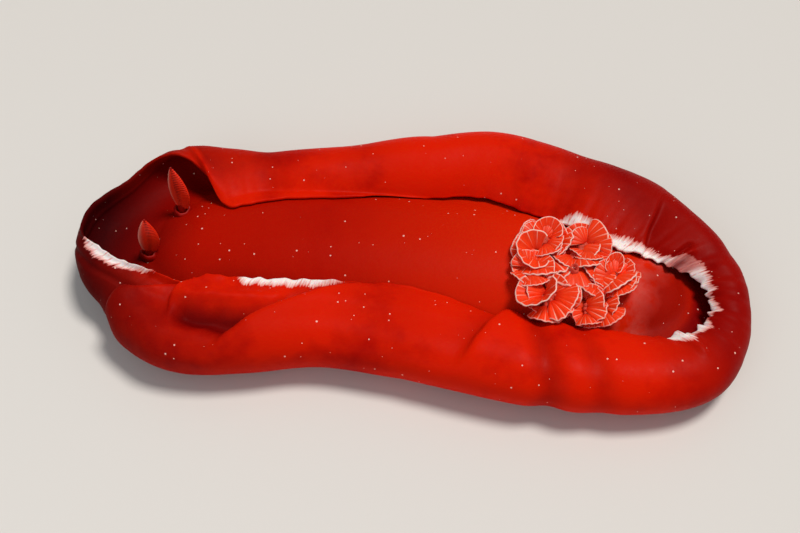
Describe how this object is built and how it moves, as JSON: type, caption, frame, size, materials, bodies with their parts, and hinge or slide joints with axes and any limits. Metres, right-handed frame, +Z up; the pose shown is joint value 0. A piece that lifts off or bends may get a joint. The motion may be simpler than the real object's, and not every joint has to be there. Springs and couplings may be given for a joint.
{
  "type": "spanish dancer nudibranch",
  "caption": "Large red sea slug at rest, its wide mantle rolled up over its back, with ruffled gill plumes and leaf-shaped feelers.",
  "frame": {"origin": "centre of the animal's outer box, on the floor under its foot", "axes": "+X towards the tail, +Y towards the animal's right side, +Z up"},
  "size_m": [0.238, 0.115, 0.0315],
  "materials": {
    "mantle_flesh": "wet, smooth, slightly translucent scarlet flesh with fine pale flecks and a ragged white band along the edge",
    "gill_flesh": "wet, thin orange-red leaves with fine pinkish-white rims and veins",
    "feeler_flesh": "wet red flesh in fine pleats with a thin pale rim",
    "foot_flesh": "moist, dull red flesh with a soft sheen"
  },
  "bodies": {
    "root": {"mantle_tail": "mantle_flesh", "mantle_front": "mantle_flesh", "mantle_right_1": "mantle_flesh", "mantle_right_2": "mantle_flesh", "mantle_right_3": "mantle_flesh", "mantle_right_4": "mantle_flesh", "mantle_right_5": "mantle_flesh", "mantle_right_6": "mantle_flesh", "mantle_left_1": "mantle_flesh", "mantle_left_2": "mantle_flesh", "mantle_left_3": "mantle_flesh", "mantle_left_4": "mantle_flesh", "mantle_left_5": "mantle_flesh", "mantle_left_6": "mantle_flesh", "head": "mantle_flesh", "back_front": "mantle_flesh", "back_rear": "mantle_flesh", "tail": "mantle_flesh", "gill_1": "gill_flesh", "gill_2": "gill_flesh", "gill_3": "gill_flesh", "gill_4": "gill_flesh", "gill_5": "gill_flesh", "gill_6": "gill_flesh", "anal_papilla": "gill_flesh", "rhinophore_left": "feeler_flesh", "rhinophore_right": "feeler_flesh", "oral_tentacle_left": "feeler_flesh", "oral_tentacle_right": "feeler_flesh", "foot": "foot_flesh", "mouth": "foot_flesh"}
  },
  "joints": []
}
